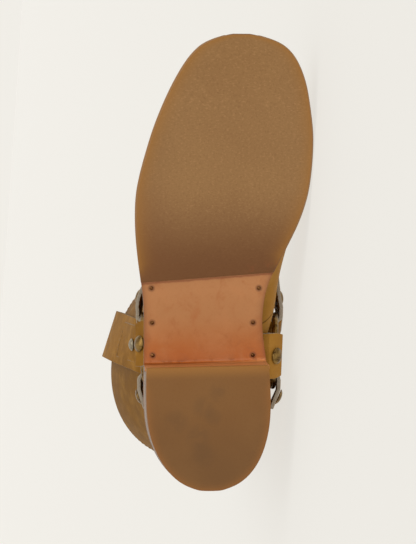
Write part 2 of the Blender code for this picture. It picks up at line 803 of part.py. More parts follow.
def ring_frame(side, beds):
    """Centre and normal of the ring that passes through the folds of its three straps."""
    a, b, c = (ring_point(bed) for bed in beds)
    normal = (b - a).cross(c - a).normalized()
    if normal.y * side < 0.0:
        normal = -normal
    starts = [bed.point(0.0, INNER_HEIGHT + FOLD_RADIUS) for bed in beds]
    centre = sum(starts, Vector()) / len(starts)
    return centre - normal * (centre - a).dot(normal), normal


def add_ring(side, centre, normal):
    bpy.ops.mesh.primitive_torus_add(major_radius=RING_RADIUS * MM, minor_radius=RING_WIRE * MM,
                                     major_segments=RING_SEGMENTS, minor_segments=WIRE_SEGMENTS)
    ring = bpy.context.active_object
    for collection in list(ring.users_collection):
        collection.objects.unlink(ring)
    part_collection.objects.link(ring)
    ring.name = f"ring_{SIDE_NAMES[side]}"
    ring.data.materials.append(brass)
    ring.data.shade_smooth()
    ring.parent = lying
    place(ring, centre, normal)


def harness_beds(ring_normals):
    """Beds of the instep, heel and sole straps, read from the ring on each side."""
    instep = round_bed(INSTEP_ANGLE, INSTEP_TURN, ring_normals)
    heel = round_bed(HEEL_ANGLE, HEEL_TURN, ring_normals)
    return {
        MEDIAL: (instep, heel, down_bed(MEDIAL, ring_normals)),
        LATERAL: (mirrored(instep), mirrored(heel), down_bed(LATERAL, ring_normals)),
    }


def add_harness():
    ring_normals = {MEDIAL: None, LATERAL: None}
    for _ in range(LEVEL_PASSES):
        beds = harness_beds(ring_normals)
        ring_normals = {side: ring_frame(side, beds[side])[1] for side in beds}
    beds = harness_beds(ring_normals)
    add_round_strap("instep_strap", beds[MEDIAL][0], INSTEP_FOLD)
    add_round_strap("heel_strap", beds[MEDIAL][1], HEEL_FOLD)
    for side in beds:
        add_sole_strap(side, beds[side][2])
        add_ring(side, *ring_frame(side, beds[side]))
        instep, heel, sole = beds[side]
        add_rivet(f"rivet_instep_{SIDE_NAMES[side]}", rivet_seat(instep, INSTEP_FOLD))
        add_rivet(f"rivet_heel_{SIDE_NAMES[side]}", rivet_seat(heel, HEEL_FOLD))
        add_rivet(f"rivet_sole_{SIDE_NAMES[side]}", rivet_seat(sole, SOLE_FOLD, sole_tail(sole)))


# Pull straps


def add_pull_strap(side, station, facing, path):
    """Loop over the collar: sewn outside the shaft, over the rim and down inside it.

    It is centred on one station and turned to face as the shaft does at another.
    """
    collar = feather_height(0.0, 0.0) + UPPER_SECTIONS[-1][1]
    outward = Vector((0.0, side, 0.0))
    hit = skin.ray_cast(Vector((station, CORE_Y, collar - PULL_SIGHT)), outward)[0]
    normal = skin.ray_cast(Vector((facing, CORE_Y, collar - PULL_SIGHT)), outward)[1]
    normal = Vector((normal.x, normal.y, 0.0)).normalized()
    if normal.dot(outward) < 0.0:
        normal = -normal
    width = Vector((-normal.y, normal.x, 0.0))
    lanes = np.linspace(-PULL_HALF, PULL_HALF, PULL_LANES)
    rows = []
    for out, height, roundness in path:
        core = Vector((hit.x, hit.y, min(height, collar - RIM_CLEARANCE))) - normal * PULL_CORE
        reaches = [(skin.ray_cast(core + width * lane, normal)[0] - core).dot(normal) for lane in lanes]
        flat = max(reaches)
        base = Vector((core.x, core.y, height))
        rows.append([base + width * lane + normal * (mix(flat, reach, roundness) + out)
                     for lane, reach in zip(lanes, reaches)])
    sections = []
    for i, row in enumerate(rows):
        rise = rows[min(i + 1, len(rows) - 1)][PULL_LANES // 2] - rows[max(i - 1, 0)][PULL_LANES // 2]
        face = rise.cross(width).normalized() * math.copysign(1.0, rise.cross(width).dot(normal) * rise.z)
        half = face * (PULL_THICKNESS / 2.0)
        sections.append([p - half for p in row] + [p + half for p in reversed(row)])
    loft(f"pull_strap_{SIDE_NAMES[side]}", sections, tan_leather)
    middle = PULL_LANES // 2
    low, high = (rows[row] for row in PULL_RIVET_ROWS)
    across = low[middle + 1] - low[middle - 1] + high[middle + 1] - high[middle - 1]
    face = (high[middle] - low[middle]).cross(across).normalized()
    face *= math.copysign(1.0, face.dot(normal))
    seat = (low[middle] + high[middle]) / 2.0 + face * (PULL_THICKNESS / 2.0 + RIVET_GAP)
    add_rivet(f"rivet_pull_{SIDE_NAMES[side]}", (seat, face), PULL_RIVET_RADIUS)


def lay_down():
    """Turn the boot on its inner side and stand it on the floor, centred on the origin."""
    lying.rotation_euler = (-math.radians(90.0 + LYING_ROLL), math.radians(LYING_DIP), 0.0)
    bpy.context.view_layer.update()
    graph = bpy.context.evaluated_depsgraph_get()
    corners = []
    for obj in part_collection.objects:
        if obj.type != "MESH":
            continue
        shape = obj.evaluated_get(graph)
        corners += [shape.matrix_world @ v.co for v in shape.data.vertices]
    corners = np.array(corners)
    low = corners.min(axis=0)
    high = corners.max(axis=0)
    lying.location = (-(low[0] + high[0]) / 2.0, -(low[1] + high[1]) / 2.0, -low[2])


clear_scene()
part_collection = bpy.data.collections.new("harness_boot")
bpy.context.scene.collection.children.link(part_collection)
lying = bpy.data.objects.new("boot_lying", None)
part_collection.objects.link(lying)

tan_leather = material("tan_leather", (0.29, 0.16, 0.045), 0.5)
veg_leather = material("veg_leather", (0.45, 0.17, 0.07), 0.5)
lining_leather = material("lining_leather", (0.5, 0.36, 0.2), 0.7)
heel_leather = material("heel_leather", (0.33, 0.2, 0.11), 0.55)
gum_rubber = material("gum_rubber", (0.3, 0.155, 0.06), 0.65)
heel_rubber = material("heel_rubber", (0.22, 0.11, 0.035), 0.6)
brass = material("brass", (0.5, 0.38, 0.2), 0.35, 1.0)

add_leather_sole()
add_rubber_forefoot()
add_welt()
add_insole()
add_heel()
add_nails()
skin = add_upper()
add_harness()
add_pull_strap(LATERAL, PULL_LATERAL_X, PULL_LATERAL_FACING, PULL_LATERAL)
add_pull_strap(MEDIAL, PULL_MEDIAL_X, PULL_MEDIAL_X, PULL_MEDIAL)
lay_down()
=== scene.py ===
"""Harness boot for the right foot: leather, rubber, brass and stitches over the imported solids."""

import math
from contextlib import contextmanager

import bpy
import numpy as np
from mathutils import Euler, Matrix, Vector
from mathutils.bvhtree import BVHTree


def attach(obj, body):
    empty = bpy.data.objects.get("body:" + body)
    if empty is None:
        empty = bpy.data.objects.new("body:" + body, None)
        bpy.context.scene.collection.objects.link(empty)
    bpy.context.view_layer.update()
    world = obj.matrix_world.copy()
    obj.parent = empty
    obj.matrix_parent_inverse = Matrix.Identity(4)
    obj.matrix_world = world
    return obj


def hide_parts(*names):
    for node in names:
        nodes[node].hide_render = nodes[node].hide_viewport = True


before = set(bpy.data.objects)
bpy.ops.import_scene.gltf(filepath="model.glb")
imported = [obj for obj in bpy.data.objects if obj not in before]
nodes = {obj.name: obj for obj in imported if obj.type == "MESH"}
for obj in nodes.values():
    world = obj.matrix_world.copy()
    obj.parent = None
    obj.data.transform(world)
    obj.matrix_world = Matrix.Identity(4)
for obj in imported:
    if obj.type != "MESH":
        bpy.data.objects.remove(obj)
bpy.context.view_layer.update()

MM = 0.001
WELD = 0.00002
# The boot's own frame, as the lying boot carries it: x to the toe, y to the inner side, z up the leg
LYING_TURN = (-math.radians(91.89), math.radians(-3.78), 0.0)
LYING_PLACE = (-0.14993, -0.12955, 0.05504)
BOOT = Matrix.Translation(LYING_PLACE) @ Euler(LYING_TURN).to_matrix().to_4x4()
TO_BOOT = BOOT.inverted()
SIDES = {"lateral": -1.0, "medial": 1.0}


def boot_point(x, y, z):
    return BOOT @ (Vector((x, y, z)) * MM)


def boot_way(x, y, z):
    return (BOOT.to_3x3() @ Vector((x, y, z))).normalized()


def in_boot(obj):
    """Points of a piece in the boot's own frame, in millimetres."""
    points = np.empty(len(obj.data.vertices) * 3, np.float32)
    obj.data.vertices.foreach_get("co", points)
    turn = np.array(TO_BOOT)
    return (points.reshape(-1, 3) @ turn[:3, :3].T + turn[:3, 3]) / MM


def put_in_boot(obj, points):
    turn = np.array(BOOT)
    moved = points * MM @ turn[:3, :3].T + turn[:3, 3]
    obj.data.vertices.foreach_set("co", moved.astype(np.float32).ravel())
    obj.data.update()


SOLE_WAY = boot_way(0.0, 0.0, -1.0)
TOE_WAY = boot_way(1.0, 0.0, 0.0)

# Finishes


class Value:
    """A number on a surface: a shader socket that takes part in Python sums."""

    def __init__(self, finish, socket):
        self.finish = finish
        self.socket = socket

    def __add__(self, other):
        return self.finish.maths("ADD", self, other)

    __radd__ = __add__

    def __sub__(self, other):
        return self.finish.maths("SUBTRACT", self, other)

    def __rsub__(self, other):
        return self.finish.maths("SUBTRACT", other, self)

    def __mul__(self, other):
        return self.finish.maths("MULTIPLY", self, other)

    __rmul__ = __mul__

    def __pow__(self, other):
        return self.finish.maths("POWER", self, other)

    def __abs__(self):
        return self.finish.maths("ABSOLUTE", self, 0.0)

    def step(self, low, high):
        """Smooth step from 0 at low to 1 at high, either way round."""
        rising = low < high
        inputs = {"Value": self, "From Min": min(low, high), "From Max": max(low, high),
                  "To Min": 0.0 if rising else 1.0, "To Max": 1.0 if rising else 0.0}
        return self.finish.node("MapRange", {"interpolation_type": "SMOOTHSTEP"}, inputs)

    def peak(self, centre, half):
        """1 at centre, falling to 0 half away on both sides."""
        return abs(self - centre).step(half, 0.0)

    def wave(self):
        return self.finish.maths("SINE", self, 0.0)


def tint(red, green, blue):
    """Colour as it is seen, out of 255, as the shader's own values."""
    seen = [c / 255.0 for c in (red, green, blue)]
    return (*[c / 12.92 if c <= 0.04045 else ((c + 0.055) / 1.055) ** 2.4 for c in seen], 1.0)


class Finish:
    """One material: a Principled shader and the nodes that feed it."""

    def __init__(self, name, **fixed):
        self.material = bpy.data.materials.new(name)
        self.material.use_nodes = True
        self.tree = self.material.node_tree
        self.shader = self.tree.nodes["Principled BSDF"]
        for socket, value in fixed.items():
            self.shader.inputs[socket.replace("_", " ")].default_value = value
        row = self.node("TexCoord", output="Object")
        lying = {"Vector": row, "Location": LYING_PLACE, "Rotation": LYING_TURN}
        self.boot = self.node("Mapping", {"vector_type": "TEXTURE"}, lying)

    def feed(self, socket, value):
        if isinstance(value, Value):
            self.tree.links.new(value.socket, socket)
        else:
            socket.default_value = value

    def node(self, kind, settings=None, inputs=None, output=0):
        """One node: its type, its settings, the values or links of its sockets, and the output to use."""
        node = self.tree.nodes.new("ShaderNode" + kind)
        for key, value in (settings or {}).items():
            setattr(node, key, value)
        for key, value in (inputs or {}).items():
            self.feed(node.inputs[key], value)
        return Value(self, node.outputs[output])

    def maths(self, operation, a, b):
        return self.node("Math", {"operation": operation}, {0: a, 1: b})

    def along(self, axis):
        """Distance along one of the boot's own axes, in millimetres."""
        return self.node("SeparateXYZ", None, {0: self.boot}, output=axis) * (1.0 / MM)

    def stretched(self, x, y, z):
        """The boot's own place, stretched along its axes."""
        return self.node("Mapping", None, {"Vector": self.boot, "Scale": (x, y, z)})

    def noise(self, size, detail=3.0, rough=0.55, warp=0.0, place=None):
        """Cloudy noise from 0 to 1, with blotches about size millimetres across."""
        return self.node("TexNoise", None, {"Vector": place or self.boot, "Scale": 1.0 / (size * MM),
                                            "Detail": detail, "Roughness": rough, "Distortion": warp})

    def cells(self, size):
        """Distance from the middle of the nearest cell, with cells about size millimetres across."""
        return self.node("TexVoronoi", None, {"Vector": self.boot, "Scale": 1.0 / (size * MM)})

    def attribute(self, name):
        return self.node("Attribute", {"attribute_name": name}, output="Fac")

    def mixed(self, share, first, second):
        """Colour between two colours."""
        return self.node("Mix", {"data_type": "RGBA"}, {0: share, 6: first, 7: second}, output=2)

    def bumps(self, *layers):
        """Normal from layers of height and depth in millimetres, each on top of the last."""
        normal = None
        for height, depth in layers:
            inputs = {"Strength": 1.0, "Distance": depth * MM, "Height": height}
            if normal is not None:
                inputs["Normal"] = normal
            normal = self.node("Bump", None, inputs)
        return normal

    def surface(self, colour, roughness, normal=None):
        """Feed the shader, and give the finished material."""
        self.feed(self.shader.inputs["Base Color"], colour)
        self.feed(self.shader.inputs["Roughness"], roughness)
        if normal is not None:
            self.feed(self.shader.inputs["Normal"], normal)
        return self.material


def waxed_leather(name, tone=1.0):
    """Olive tan pull-up leather: soft mottling, fine grain, and painted light low on the inner side."""
    finish = Finish(name, Specular_IOR_Level=0.04)
    cloud = finish.noise(46.0, 3.0, 0.55, 0.3)
    blotch = finish.noise(10.0, 3.0, 0.6)
    grain = finish.cells(0.9)
    pores = finish.noise(0.5, 2.0, 0.7)
    scuff = finish.noise(26.0, 6.0, 0.75, 0.8, finish.stretched(1.0, 1.0, 2.2)).step(0.62, 0.74)
    dark = tint(104 * tone, 69 * tone, 17 * tone)
    middle = tint(124 * tone, 85 * tone, 26 * tone)
    pale = tint(144 * tone, 105 * tone, 44 * tone)
    colour = finish.mixed(cloud.step(0.25, 0.7), dark, middle)
    colour = finish.mixed(blotch.step(0.45, 0.75) * 0.5, colour, pale)
    colour = finish.mixed(blotch.step(0.48, 0.25) * 0.5, colour, dark)
    colour = finish.mixed(scuff * 0.3, colour, pale)
    colour = finish.mixed(grain.step(0.55, 0.9) * 0.2, colour, dark)
    # Painted light: paler low on the inner side, which lies in shade by the floor
    inner_side_painted_light = finish.along(1).step(34.0, 46.0) * finish.along(2).step(84.0, 56.0)
    colour = finish.mixed(inner_side_painted_light * 0.45, colour, tint(172, 122, 52))
    roughness = 0.44 + 0.16 * cloud + 0.1 * scuff
    layers = [(grain, 0.05), (pores, 0.03), (blotch, 0.1)]
    return finish, colour, roughness, layers


def strap_leather():
    """Leather of the harness and the pull straps, a little paler than the upper."""
    finish, colour, roughness, layers = waxed_leather("strap_leather", 1.1)
    return finish.surface(colour, roughness, finish.bumps(*layers))


def upper_leather():
    """Leather of the upper, with a lap at each seam and a painted shadow along each lap."""
    finish, colour, roughness, layers = waxed_leather("upper_leather")
    station = finish.along(0)
    height = finish.along(2)
    shade = tint(70, 46, 16)
    for seam in SEAMS:
        gap = seam.across(station, height)
        inside = seam.inside(station, height)
        layers.append((gap.step(-0.5, 0.5) * inside, SEAM_LAP))
        # Painted shadow: a dark line along the lap of each seam
        colour = finish.mixed(gap.peak(-0.4, 0.9) * inside * 0.7, colour, shade)
    return finish.surface(colour, roughness, finish.bumps(*layers))


def cut_edge():
    """Raw edge of a strap: grey fibres."""
    finish = Finish("cut_edge", Specular_IOR_Level=0.3)
    fibre = finish.noise(0.7, 4.0, 0.7, 0.5)
    layer = finish.noise(5.0, 3.0)
    colour = finish.mixed(fibre, tint(112, 100, 84), tint(176, 166, 150))
    colour = finish.mixed(layer.step(0.5, 0.75) * 0.35, colour, tint(122, 98, 62))
    return finish.surface(colour, 0.82, finish.bumps((fibre, 0.15)))


def lining():
    """Flesh side of the leather inside the shaft."""
    finish = Finish("lining_leather_nap", Sheen_Weight=0.15)
    nap = finish.noise(1.2, 5.0, 0.75, 0.6)
    cloud = finish.noise(30.0, 3.0)
    colour = finish.mixed(cloud, tint(150, 118, 78), tint(182, 150, 108))
    colour = finish.mixed(nap.step(0.4, 0.7) * 0.3, colour, tint(206, 180, 142))
    return finish.surface(colour, 0.92, finish.bumps((nap, 0.2)))


def shank_leather():
    """Glossy orange sole leather, wrinkled where it turns down the heel breast, with a painted highlight
    along the turn and painted shade in its creases.
    """
    finish = Finish("shank_leather", Coat_Roughness=0.25, Coat_Weight=0.08, Specular_IOR_Level=0.25)
    station = finish.along(0)
    across = finish.along(1)
    rim = finish.attribute("rim")
    cloud = finish.noise(22.0, 4.0, 0.6, 0.4)
    patch = finish.noise(9.0, 4.0, 0.65, 0.5)
    fibre = finish.noise(1.6, 4.0, 0.7)
    pores = finish.noise(0.45, 2.0, 0.6)
    wander = finish.noise(7.0, 5.0, 0.7)
    slanted = station - BREAST_SLANT * across
    drop = finish.along(2) - BREAST_TILT * across
    turned = station.step(BREAST_TURN + 2.0, BREAST_TURN - 0.5)
    wrinkle = (drop + (wander - 0.5) * 4.0).peak(BREAST_WRINKLE, 1.3) * turned
    crinkle = (slanted + (patch - 0.5) * 9.0).peak(BREAST_TURN, 1.4) * patch.step(0.5, 0.7)
    colour = finish.mixed(station.step(84.0, 118.0), tint(168, 90, 30), tint(166, 112, 68))
    colour = finish.mixed(cloud.step(0.4, 0.75) * 0.5, colour, tint(174, 115, 70))
    colour = finish.mixed(cloud.step(0.45, 0.2) * 0.5, colour, tint(156, 82, 32))
    colour = finish.mixed(patch.step(0.5, 0.75) * 0.4, colour, tint(148, 82, 36))
    colour = finish.mixed(fibre.step(0.5, 0.8) * 0.2, colour, tint(140, 76, 34))
    # Painted highlight: a pale band just above the breast wrinkle, where the sole turns down
    breast_painted_highlight = drop.step(BREAST_WRINKLE + 3.6, BREAST_WRINKLE + 1.4) * turned
    colour = finish.mixed(breast_painted_highlight * 0.9, colour, tint(244, 166, 100))
    # Painted shade: the crinkles and the breast wrinkle are darkened as well as bumped
    colour = finish.mixed(crinkle * 0.45, colour, tint(104, 48, 18))
    colour = finish.mixed(wrinkle * 0.5, colour, tint(108, 50, 20))
    glue = (station - RUBBER_SLANT * across + (wander - 0.5) * 2.0).peak(GLUE_LINE, 1.3)
    colour = finish.mixed(glue * 0.55, colour, tint(112, 48, 20))
    colour = finish.mixed(rim.step(0.25, 1.0) * 0.55, colour, tint(96, 48, 20))
    for nail in NAILS:
        spread = in_boot(nodes[nail]).mean(axis=0)
        near = (station - float(spread[0])) ** 2.0 + (across - float(spread[1])) ** 2.0
        stain = near.step(NAIL_STAIN ** 2, NAIL_CORE ** 2)
        colour = finish.mixed(stain * 0.5, colour, tint(84, 44, 20))
    normal = finish.bumps((wrinkle, -0.35), (crinkle, -0.25), (wander, 0.25), (fibre, 0.05), (pores, 0.02))
    return finish.surface(colour, 0.36 + 0.2 * fibre, normal)


def edge_leather(name, dark, pale, layer_height):
    """Waxed edge of sole leather, in thin layers."""
    finish = Finish(name, Coat_Roughness=0.25, Coat_Weight=0.2)
    fibre = finish.noise(1.1, 3.0, 0.7)
    streak = finish.noise(2.6, 3.0, 0.6, 0.0, finish.stretched(0.06, 0.06, 1.0))
    lift = finish.along(2) + (streak - 0.5) * 1.2
    joint = (lift * (2.0 * math.pi / layer_height)).wave().step(0.8, 1.0)
    colour = finish.mixed(streak.step(0.3, 0.7), dark, pale)
    colour = finish.mixed(fibre * 0.3, colour, dark)
    colour = finish.mixed(joint * 0.6, colour, tint(44, 28, 16))
    normal = finish.bumps((joint, -0.25), (streak, 0.12), (fibre, 0.06))
    return finish.surface(colour, 0.4 + 0.2 * fibre, normal)


def gum_rubber():
    """Smooth gum rubber of the forefoot: honey rim, fine specks, painted shade where it curves away and on
    its outer side.
    """
    finish = Finish("gum_rubber_tread", Specular_IOR_Level=0.28)
    station = finish.along(0)
    across = finish.along(1)
    rim = finish.attribute("rim")
    cloud = finish.noise(60.0, 3.0, 0.5, 0.3)
    speck = finish.noise(1.5, 3.0, 0.75)
    fleck = finish.noise(0.9, 2.0, 0.6, 0.0, finish.stretched(1.0, 0.45, 1.0))
    colour = finish.mixed(cloud.step(0.3, 0.7), tint(127, 91, 50), tint(133, 97, 55))
    colour = finish.mixed(speck.step(0.45, 0.75) * 0.45, colour, tint(104, 69, 35))
    colour = finish.mixed(fleck.step(0.52, 0.72) * 0.35, colour, tint(162, 122, 78))
    # Painted shade: darker towards the rear, where the rubber curves away
    colour = finish.mixed(station.step(205.0, 145.0) * 0.8, colour, tint(92, 52, 20))
    # Painted shade: darker on the outer side towards the rear of the forefoot
    outer_rear_painted_shade = across.step(-10.0, -55.0) * station.step(225.0, 185.0)
    colour = finish.mixed(outer_rear_painted_shade * 0.4, colour, tint(108, 66, 30))
    smear = finish.noise(7.0, 5.0, 0.7, 0.8).step(0.5, 0.68)
    corner = across.step(18.0, 42.0) * station.step(156.0, 145.0)
    colour = finish.mixed(smear * corner * 0.5, colour, tint(132, 66, 32))
    colour = finish.mixed(rim.step(0.1, 1.0) * 0.7, colour, tint(138, 92, 34))
    normal = finish.bumps((fleck, 0.03), (speck, 0.04), (cloud, 0.15))
    return finish.surface(colour, 0.55 + 0.15 * speck, normal)


def heel_rubber():
    """Brown heel rubber with honey edges, dark smudges, painted shade towards the back and a painted
    highlight along the front.
    """
    finish = Finish("heel_rubber_tread", Specular_IOR_Level=0.28)
    rim = finish.attribute("rim")
    station = finish.along(0)
    across = finish.along(1)
    cloud = finish.noise(40.0, 3.0, 0.5, 0.4)
    speck = finish.noise(1.4, 3.0, 0.75)
    # Painted shade: darker towards the back of the heel
    colour = finish.mixed(station.step(8.0, 78.0), tint(100, 65, 24), tint(113, 73, 27))
    colour = finish.mixed(cloud.step(0.35, 0.7) * 0.4, colour, tint(116, 78, 34))
    colour = finish.mixed(speck.step(0.5, 0.75) * 0.25, colour, tint(88, 56, 22))
    colour = finish.mixed(rim.step(0.2, 1.0) * 0.55, colour, tint(132, 82, 30))
    # Painted highlight: a pale band along the front of the heel
    colour = finish.mixed((station - 0.02 * across).step(73.0, 82.0) * 0.9, colour, tint(138, 91, 34))
    smear = finish.noise(9.0, 4.0, 0.6, 0.8)
    for x, y, size in HEEL_SMUDGES:
        near = (station - x) ** 2.0 + (across - y) ** 2.0
        mark = near.step(size * size, 0.0) * smear.step(0.3, 0.6)
        colour = finish.mixed(mark * 0.2, colour, tint(72, 50, 24))
    normal = finish.bumps((speck, 0.04), (cloud, 0.2))
    return finish.surface(colour, 0.52 + 0.16 * speck, normal)


def antique_brass(name, dark, pale):
    """Brass with brown patina in the low places."""
    finish = Finish(name, Metallic=1.0)
    patina = finish.noise(4.0, 4.0, 0.65, 0.4)
    scratch = finish.noise(0.9, 3.0, 0.7, 0.0, finish.stretched(1.0, 0.2, 1.0))
    colour = finish.mixed(patina.step(0.3, 0.7), dark, pale)
    return finish.surface(colour, 0.2 + 0.2 * patina, finish.bumps((scratch, 0.03)))


def thread(name, shade):
    """Twisted sewing thread."""
    finish = Finish(name, Sheen_Weight=0.2)
    twist = finish.noise(0.5, 2.0)
    colour = finish.mixed(twist, tint(*[c * 0.8 for c in shade]), tint(*shade))
    return finish.surface(colour, 0.7, finish.bumps((twist, 0.05)))


class Seam:
    """A lap seam: a slanted plane through the upper, limited to part of its height."""

    FADE = 2.0

    def __init__(self, x, z, angle, low, high):
        self.x = x
        self.z = z
        self.angle = angle
        self.cos = math.cos(math.radians(angle))
        self.sin = math.sin(math.radians(angle))
        self.low = low
        self.high = high

    def across(self, x, z):
        """Distance from the seam, above it or in front of it."""
        return (z - self.z) * self.cos - (x - self.x) * self.sin

    def inside(self, x, z):
        """1 along the seam's length, fading out past its ends."""
        along = (x - self.x) * self.cos + (z - self.z) * self.sin
        return along.step(self.low - self.FADE, self.low) * along.step(self.high + self.FADE, self.high)


# Places on the sole: stations, heights, and slants as a rise for each millimetre across
BREAST_TURN = 86.0
BREAST_SLANT = 0.032
BREAST_TILT = 0.057
BREAST_WRINKLE = 22.0
RUBBER_REAR = 147.0
RUBBER_SLANT = 0.079
GLUE_LINE = 139.6
HEEL_FRONT = 78.0
NAIL_STAIN = 3.0
NAIL_CORE = 1.2
SEAM_LAP = 0.7
# Seams of the upper: station, height, angle in the side view, and where each starts and ends
VAMP_SEAM = Seam(112.0, 42.0, 56.0, -20.0, 140.0)
COUNTER_SEAM = Seam(62.0, 44.0, 136.0, -20.0, 130.0)
SIDE_SEAM = Seam(95.0, 100.0, 90.0, 0.0, 150.0)
SEAMS = (VAMP_SEAM, COUNTER_SEAM, SIDE_SEAM)
NAILS = [f"shank_nail_{side}_{row}" for side in SIDES for row in (1, 2, 3)]
HEEL_SMUDGES = (
    # station, across, size
    (65.0, 7.0, 8.0),
    (55.5, -3.0, 9.0),
    (49.0, 3.5, 7.0),
    (46.0, -21.0, 10.0),
    (36.0, -6.5, 10.0),
    (24.0, -2.5, 10.0),
)

upper_finish = upper_leather()
strap_finish = strap_leather()
edge_finish = cut_edge()
lining_finish = lining()
shank_finish = shank_leather()
SOLE_LAYER = 40.0
STACK_LAYER = 5.2
sole_edge_finish = edge_leather("sole_edge_leather", tint(92, 58, 30), tint(140, 96, 56), SOLE_LAYER)
stack_finish = edge_leather("heel_stack_leather", tint(80, 54, 34), tint(140, 108, 78), STACK_LAYER)
gum_finish = gum_rubber()
heel_finish = heel_rubber()
brass_finish = antique_brass("antique_brass", tint(80, 58, 30), tint(154, 122, 68))
dull_finish = antique_brass("dull_brass", tint(108, 98, 80), tint(160, 150, 130))
nail_finish = antique_brass("nail_brass", tint(82, 48, 24), tint(124, 84, 50))
tan_thread = thread("tan_thread", (132, 98, 48))
welt_thread = thread("welt_thread", (190, 168, 126))


# Modelling steps

QUAD_FLATNESS = math.radians(45.0)
QUAD_SHAPE = math.radians(60.0)
SHARP = math.radians(50.0)
OUTLINE_CORNER = math.radians(30.0)
OUTLINE_UNEVEN = 2.5
SMOOTH = math.radians(38.0)


def take(obj):
    """Select one piece alone and make it active."""
    bpy.ops.object.select_all(action="DESELECT")
    obj.select_set(True)
    bpy.context.view_layer.objects.active = obj


@contextmanager
def editing(obj, mode="FACE"):
    """Edit mode for one piece."""
    take(obj)
    bpy.ops.object.mode_set(mode="EDIT")
    bpy.ops.mesh.select_mode(type=mode)
    yield
    bpy.ops.object.mode_set(mode="OBJECT")


def pick_faces(obj, test):
    """Select the faces that pass a test, and no others."""
    mesh = obj.data
    for part in (mesh.vertices, mesh.edges, mesh.polygons):
        part.foreach_set("select", np.zeros(len(part), bool))
    mesh.polygons.foreach_set("select", np.array([bool(test(face)) for face in mesh.polygons]))


def apply(obj, kind, **settings):
    """Add a modifier, set it and apply it."""
    modifier = obj.modifiers.new(kind.lower(), kind)
    for key, value in settings.items():
        setattr(modifier, key, value)
    take(obj)
    bpy.ops.object.modifier_apply(modifier=modifier.name)


def smoothed(obj, levels):
    """Subdivide a piece smoothly."""
    apply(obj, "SUBSURF", levels=levels, render_levels=levels)


def solid_copy(node, name):
    """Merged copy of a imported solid, in quads where it can be."""
    obj = bpy.data.objects.new(name, nodes[node].data.copy())
    bpy.context.scene.collection.objects.link(obj)
    obj.data.materials.clear()
    take(obj)
    bpy.ops.mesh.customdata_custom_splitnormals_clear()
    with editing(obj):
        bpy.ops.mesh.select_all(action="SELECT")
        bpy.ops.mesh.remove_doubles(threshold=WELD)
        bpy.ops.mesh.tris_convert_to_quads(face_threshold=QUAD_FLATNESS, shape_threshold=QUAD_SHAPE)
    return obj


def rounded(obj, width, segments=2, sharp=SHARP):
    """Round the sharp edges of a piece."""
    with editing(obj, "EDGE"):
        bpy.ops.mesh.select_all(action="DESELECT")
        bpy.ops.mesh.edges_select_sharp(sharpness=sharp)
        bpy.ops.mesh.bevel(offset=width * MM, segments=segments, profile=0.5, clamp_overlap=True)


def round_outlines(obj):
    """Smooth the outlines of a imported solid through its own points, keeping its edges and corners crisp."""
    with editing(obj, "EDGE"):
        bpy.ops.mesh.select_all(action="DESELECT")
        bpy.ops.mesh.edges_select_sharp(sharpness=SHARP)
    mesh = obj.data
    crisp_edges = mesh.attributes.new("crease_edge", "FLOAT", "EDGE").data
    crisp_points = mesh.attributes.new("crease_vert", "FLOAT", "POINT").data
    around = {}
    for edge in mesh.edges:
        crisp_edges[edge.index].value = float(edge.select)
        if edge.select:
            first, second = edge.vertices
            around.setdefault(first, []).append(second)
            around.setdefault(second, []).append(first)
    points = [v.co.copy() for v in mesh.vertices]
    for index, ends in around.items():
        into = points[index] - points[ends[0]]
        out = points[ends[-1]] - points[index]
        even = max(into.length, out.length) < OUTLINE_UNEVEN * min(into.length, out.length)
        if len(ends) == 2 and even and into.angle(out) < OUTLINE_CORNER:
            # Subdividing draws a point in by a sixth of its bend, so it is put out by as much
            mesh.vertices[index].co = points[index] + (into - out) / 6.0
        else:
            crisp_points[index].value = 1.0
    smoothed(obj, 2)


def hand_over(obj, slot, *replaced, finishes=()):
    """Smooth shading, finishes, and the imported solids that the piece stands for."""
    for finish in finishes:
        obj.data.materials.append(finish)
    take(obj)
    bpy.ops.object.shade_smooth_by_angle(angle=SMOOTH)
    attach(obj, "root")
    if replaced:
        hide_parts(*replaced)
    return obj


def tree_of(obj):
    """A piece as a tree that rays can be cast at."""
    points = [v.co.copy() for v in obj.data.vertices]
    return BVHTree.FromPolygons(points, [tuple(face.vertices) for face in obj.data.polygons])


# Sole pieces

TREAD_FACING = 0.85
SOLE_FACING = 0.45
BREAST_FACING = 0.8
TREAD_FLATNESS = math.radians(0.5)
SOLE_RIM = 1.6


def mark_rim(obj, band, faces, keep=None):
    """Inset the chosen faces and mark how near a point is to their edge: 1 at the edge, 0 inside."""
    pick_faces(obj, faces)
    with editing(obj):
        bpy.ops.mesh.inset(thickness=band * MM, depth=0.0, use_boundary=True)
    marks = np.ones(len(obj.data.vertices), np.float32)
    marks[[v for face in obj.data.polygons if face.select for v in face.vertices]] = 0.0
    if keep is not None:
        marks[~keep(in_boot(obj))] = 0.0
    obj.data.attributes.new("rim", "FLOAT", "POINT").data.foreach_set("value", marks)


def is_tread(face):
    return face.normal.dot(SOLE_WAY) > TREAD_FACING


def is_sole(face):
    return face.normal.dot(SOLE_WAY) > SOLE_FACING


def add_tread(node, name, finish, slot, band, bevel, keep):
    """Rubber piece whose tread is inset, so that its rim can be toned apart."""
    obj = solid_copy(node, name)
    pick_faces(obj, is_tread)
    with editing(obj):
        bpy.ops.mesh.dissolve_limited(angle_limit=TREAD_FLATNESS)
    mark_rim(obj, band, is_tread, keep)
    round_outlines(obj)
    rounded(obj, bevel, 3)
    hand_over(obj, slot, node, finishes=[finish])


add_tread("rubber_forefoot", "forefoot_tread", gum_finish, "gum_rubber", 4.5, 0.6,
          lambda points: points[:, 0] > RUBBER_REAR)
add_tread("heel_top_lift", "heel_tread", heel_finish, "heel_rubber", 4.0, 0.7,
          lambda points: points[:, 0] < HEEL_FRONT)

